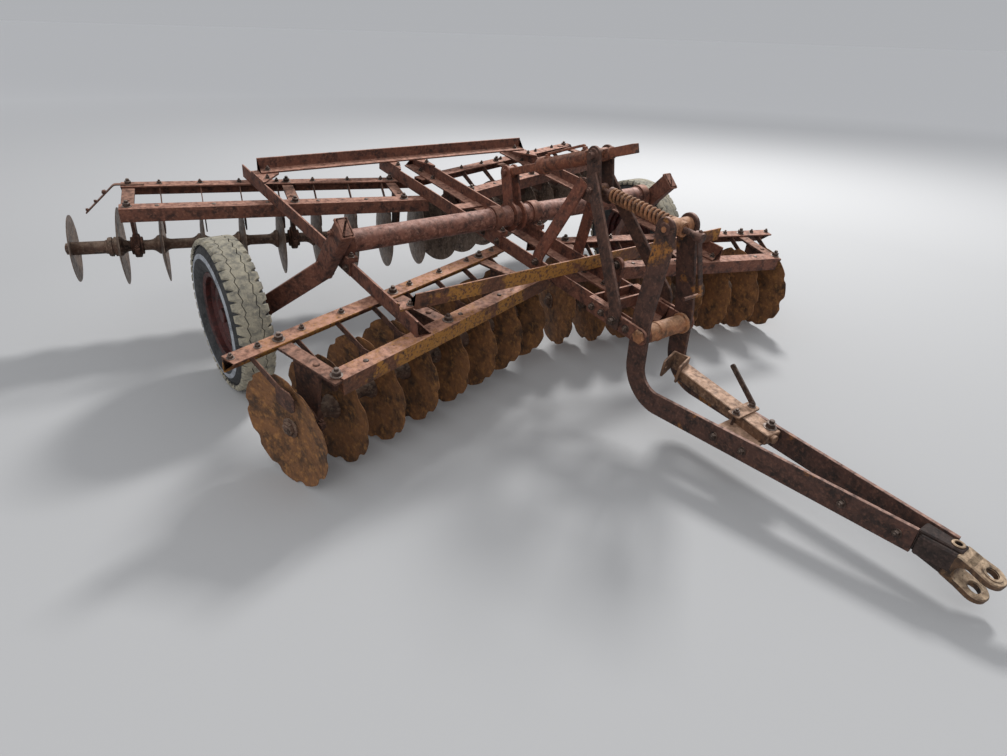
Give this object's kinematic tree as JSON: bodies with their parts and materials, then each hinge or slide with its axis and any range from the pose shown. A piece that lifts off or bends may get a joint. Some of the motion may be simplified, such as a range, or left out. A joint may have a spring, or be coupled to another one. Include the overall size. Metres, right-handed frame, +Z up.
{
  "type": "wheel-carried tandem disc harrow",
  "caption": "Tandem disc harrow with swept notched front and plain rear gangs, angle-iron frame, rockshaft on two transport wheels, mast and hinged drawbar with clevis.",
  "frame": {"origin": "middle of the harrow's outline on the ground it stands on", "axes": "+X to the harrow's right when seen from the front hitch looking rearwards, +Y rearwards, +Z up"},
  "size_m": [3.7782, 3.8948, 1.1822],
  "materials": {
    "frame_rust": "worn red paint over rust",
    "dark_rust": "dark rust",
    "old_orange_paint": "weathered orange paint",
    "rust_on_tube": "pinkish rust",
    "drawbar_rust": "dark brown rust",
    "notched_disc_rust": "yellow-brown rust",
    "plain_disc_steel": "grey-brown worn steel",
    "spool_iron": "rusted casting",
    "spring_rust": "light rust",
    "hitch_iron": "worn casting",
    "stand_steel": "dusty pale rust",
    "rim_paint": "dark maroon paint",
    "tyre_rubber": "worn, dusty"
  },
  "bodies": {
    "frame": {"left_side_rail": "frame_rust", "right_side_rail": "frame_rust", "left_centre_rail": "frame_rust", "right_centre_rail": "frame_rust", "front_cross_angle": "old_orange_paint", "rear_cross_angle": "frame_rust", "gusset_plates": "frame_rust", "centre_fittings": "frame_rust", "pivot_cheeks": "frame_rust", "pivot_pin": "spring_rust", "rockshaft_bearings": "frame_rust", "mast_head": "drawbar_rust", "mast_front_legs": "drawbar_rust", "mast_rear_legs": "drawbar_rust", "front_left_beams": "old_orange_paint", "front_left_hangers": "dark_rust", "front_left_scrapers": "dark_rust", "front_right_beams": "old_orange_paint", "front_right_hangers": "dark_rust", "front_right_scrapers": "dark_rust", "rear_left_beams": "frame_rust", "rear_left_hangers": "dark_rust", "rear_left_scrapers": "dark_rust", "rear_right_beams": "frame_rust", "rear_right_hangers": "dark_rust", "rear_right_scrapers": "dark_rust"},
    "front_left_gang": {"front_left_discs": "notched_disc_rust", "front_left_spools": "spool_iron"},
    "front_right_gang": {"front_right_discs": "notched_disc_rust", "front_right_spools": "spool_iron"},
    "rear_left_gang": {"rear_left_discs": "plain_disc_steel", "rear_left_spools": "spool_iron"},
    "rear_right_gang": {"rear_right_discs": "plain_disc_steel", "rear_right_spools": "spool_iron"},
    "rockshaft": {"rockshaft_tube": "rust_on_tube", "rockshaft_lever": "drawbar_rust", "left_wheel_arm": "frame_rust", "right_wheel_arm": "frame_rust"},
    "left_wheel": {"left_rim": "rim_paint", "left_tyre": "tyre_rubber"},
    "right_wheel": {"right_rim": "rim_paint", "right_tyre": "tyre_rubber"},
    "drawbar": {"left_drawbar_arm": "drawbar_rust", "right_drawbar_arm": "drawbar_rust", "hitch_clevis": "hitch_iron", "spring_trunnion": "spring_rust", "stowed_stand": "stand_steel", "stand_clamp": "drawbar_rust"},
    "levelling_screw": {"levelling_rod": "drawbar_rust", "levelling_spring": "spring_rust", "levelling_crank": "drawbar_rust"},
    "cylinder_barrel": {"lift_barrel": "rust_on_tube"},
    "cylinder_rod": {"lift_rod": "rust_on_tube"}
  },
  "joints": [
    {"name": "rockshaft_turn", "type": "hinge", "parent": "frame", "child": "rockshaft", "pos_m": [0, 0.48508, 0.7293], "axis": [1, 0, 0], "range_deg": [-18, 36]},
    {"name": "left_wheel_spin", "type": "hinge", "parent": "rockshaft", "child": "left_wheel", "pos_m": [-1.355, 0.86328, 0.358], "axis": [1, 0, 0], "continuous": true},
    {"name": "right_wheel_spin", "type": "hinge", "parent": "rockshaft", "child": "right_wheel", "pos_m": [1.355, 0.86328, 0.358], "axis": [1, 0, 0], "continuous": true},
    {"name": "front_left_gang_spin", "type": "hinge", "parent": "frame", "child": "front_left_gang", "pos_m": [-1.439, -0.05919, 0.23745], "axis": [0.9615, 0.2718, 0.0406], "continuous": true},
    {"name": "front_right_gang_spin", "type": "hinge", "parent": "frame", "child": "front_right_gang", "pos_m": [1.439, -0.05919, 0.23745], "axis": [-0.9615, 0.2718, 0.0406], "continuous": true},
    {"name": "rear_left_gang_spin", "type": "hinge", "parent": "frame", "child": "rear_left_gang", "pos_m": [-1.643, 1.73587, 0.50573], "axis": [0.9732, -0.2275, -0.034], "continuous": true},
    {"name": "rear_right_gang_spin", "type": "hinge", "parent": "frame", "child": "rear_right_gang", "pos_m": [1.643, 1.73587, 0.50573], "axis": [-0.9732, -0.2275, -0.034], "continuous": true},
    {"name": "drawbar_tilt", "type": "hinge", "parent": "frame", "child": "drawbar", "pos_m": [0, -0.56421, 0.47744], "axis": [1, 0, 0], "range_deg": [-5, 1.8]},
    {"name": "levelling_screw_swing", "type": "hinge", "parent": "frame", "child": "levelling_screw", "pos_m": [0, -0.11937, 0.97162], "axis": [1, 0, 0], "range_deg": [-3, 3], "deforming": ["levelling_spring"]},
    {"name": "cylinder_swing", "type": "hinge", "parent": "frame", "child": "cylinder_barrel", "pos_m": [0, -0.10174, 1.11076], "axis": [1, 0, 0], "range_deg": [-8, 8]},
    {"name": "cylinder_stroke", "type": "slide", "parent": "cylinder_barrel", "child": "cylinder_rod", "axis": [0, 0.9642, -0.2653], "range_m": [-0.13, 0.08]}
  ],
  "couplings": [
    {"joint": "levelling_screw_swing", "follows": "drawbar_tilt", "ratio": -0.165},
    {"joint": "cylinder_swing", "follows": "rockshaft_turn", "ratio": -0.1},
    {"joint": "cylinder_stroke", "follows": "rockshaft_turn", "m_per_rad": -0.19}
  ]
}
